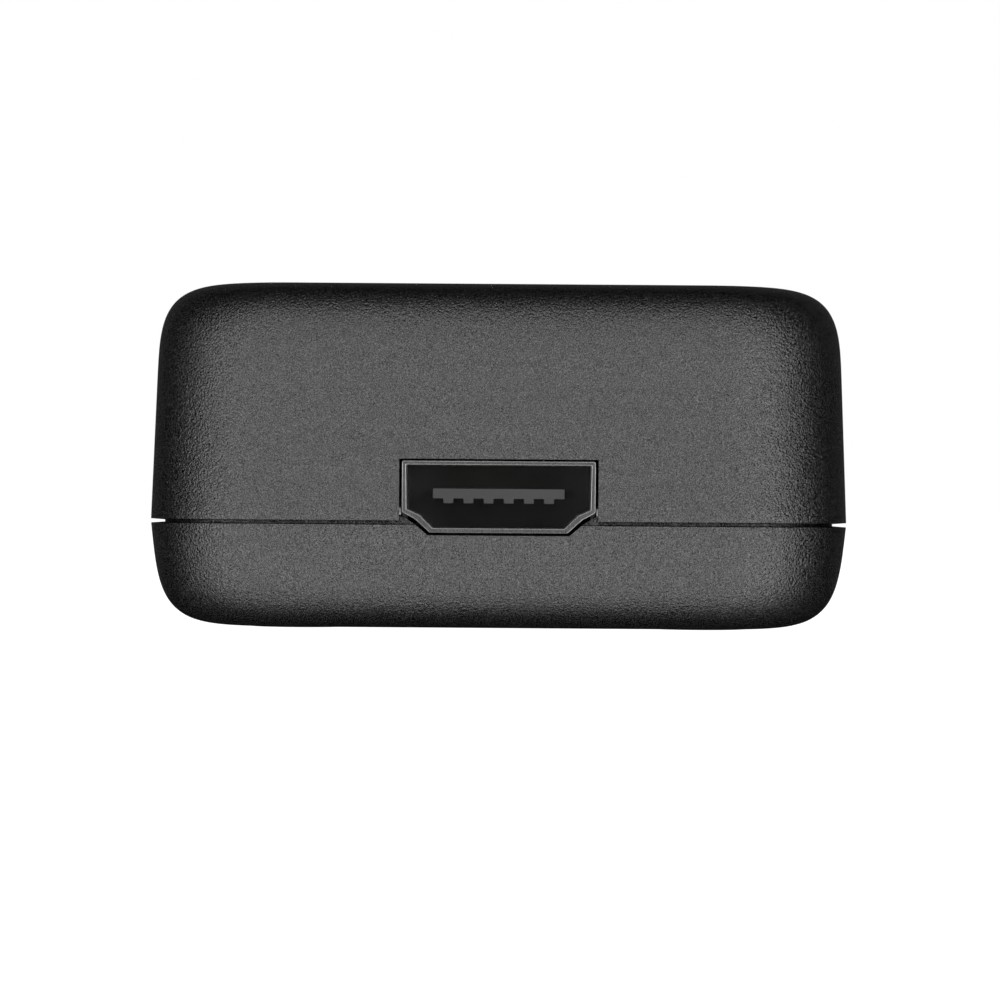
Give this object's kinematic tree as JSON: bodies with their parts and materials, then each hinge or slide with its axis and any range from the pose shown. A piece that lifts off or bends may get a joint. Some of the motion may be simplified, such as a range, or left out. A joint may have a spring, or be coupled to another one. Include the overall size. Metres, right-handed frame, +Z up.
{
  "type": "streaming media player",
  "caption": "Palm-sized black box with a two-part textured case, an HDMI socket in one end and network, power and button in the other.",
  "frame": {"origin": "centre of the case's outline, on the plane that the rubber feet stand on", "axes": "+Z up, +X across the case, -Y out of the end with the HDMI socket, +Y out of the end with the network and power sockets"},
  "size_m": [0.055, 0.084, 0.0273],
  "materials": {
    "top_shell": "fine spark-eroded grain",
    "bottom_shell": "fine spark-eroded grain",
    "rubber_feet": "matte",
    "case_screws": "zinc plated",
    "base_label": "satin film, blank",
    "main_board": "solder mask over glass-fibre laminate",
    "board_screws": "zinc plated",
    "hdmi_shell": "nickel-plated sheet steel",
    "hdmi_housing": "glass-filled moulding",
    "hdmi_contacts_upper": "gold flash over copper alloy",
    "hdmi_contacts_lower": "gold flash over copper alloy",
    "lan_shield": "nickel-plated sheet steel",
    "lan_housing": "glass-filled moulding",
    "lan_contacts": "gold flash over copper alloy",
    "lan_light_pipes": "clear moulded light guide",
    "usb_c_shell": "nickel-plated sheet steel",
    "usb_c_housing": "glass-filled moulding",
    "usb_c_contacts": "gold flash over copper alloy",
    "pairing_button": "satin",
    "switch_plunger": "satin",
    "switch_frame": "glass-filled moulding",
    "switch_cover": "nickel-plated sheet steel",
    "status_light_pipe": "clear moulded light guide",
    "status_led": "clear resin",
    "processor": "moulded epoxy",
    "thermal_pad": "soft gap filler",
    "heat_sink": "extruded",
    "heat_sink_pins": "nylon",
    "heat_sink_springs": "spring wire",
    "memory_chips": "moulded epoxy",
    "storage_chip": "moulded epoxy",
    "wifi_module": "solder mask over glass-fibre laminate",
    "wifi_shield": "nickel-plated sheet steel",
    "antenna_left": "nickel-plated sheet steel",
    "antenna_right": "nickel-plated sheet steel",
    "ethernet_chip": "moulded epoxy",
    "ethernet_transformer": "moulded epoxy",
    "power_chip": "moulded epoxy",
    "power_inductors": "pressed ferrite",
    "bulk_capacitors": "bare can",
    "bulk_capacitor_bases": "glass-filled moulding",
    "ceramic_capacitors": "fired ceramic",
    "crystals": "bare can",
    "surge_protectors": "moulded epoxy"
  },
  "bodies": {
    "case": {"top_shell": "top_shell", "bottom_shell": "bottom_shell", "rubber_feet": "rubber_feet", "case_screws": "case_screws", "base_label": "base_label", "main_board": "main_board", "board_screws": "board_screws", "hdmi_shell": "hdmi_shell", "hdmi_housing": "hdmi_housing", "hdmi_contacts_upper": "hdmi_contacts_upper", "hdmi_contacts_lower": "hdmi_contacts_lower", "lan_shield": "lan_shield", "lan_housing": "lan_housing", "lan_contacts": "lan_contacts", "lan_light_pipes": "lan_light_pipes", "usb_c_shell": "usb_c_shell", "usb_c_housing": "usb_c_housing", "usb_c_contacts": "usb_c_contacts", "switch_frame": "switch_frame", "switch_cover": "switch_cover", "status_light_pipe": "status_light_pipe", "status_led": "status_led", "processor": "processor", "thermal_pad": "thermal_pad", "heat_sink": "heat_sink", "heat_sink_pins": "heat_sink_pins", "heat_sink_springs": "heat_sink_springs", "memory_chips": "memory_chips", "storage_chip": "storage_chip", "wifi_module": "wifi_module", "wifi_shield": "wifi_shield", "antenna_left": "antenna_left", "antenna_right": "antenna_right", "ethernet_chip": "ethernet_chip", "ethernet_transformer": "ethernet_transformer", "power_chip": "power_chip", "power_inductors": "power_inductors", "bulk_capacitors": "bulk_capacitors", "bulk_capacitor_bases": "bulk_capacitor_bases", "ceramic_capacitors": "ceramic_capacitors", "crystals": "crystals", "surge_protectors": "surge_protectors"},
    "button": {"pairing_button": "pairing_button", "switch_plunger": "switch_plunger"}
  },
  "joints": [
    {"name": "button_press", "type": "slide", "parent": "case", "child": "button", "axis": [0, -1, 0], "range_m": [0, 0.00035], "stiffness_N_per_m": 1500}
  ]
}
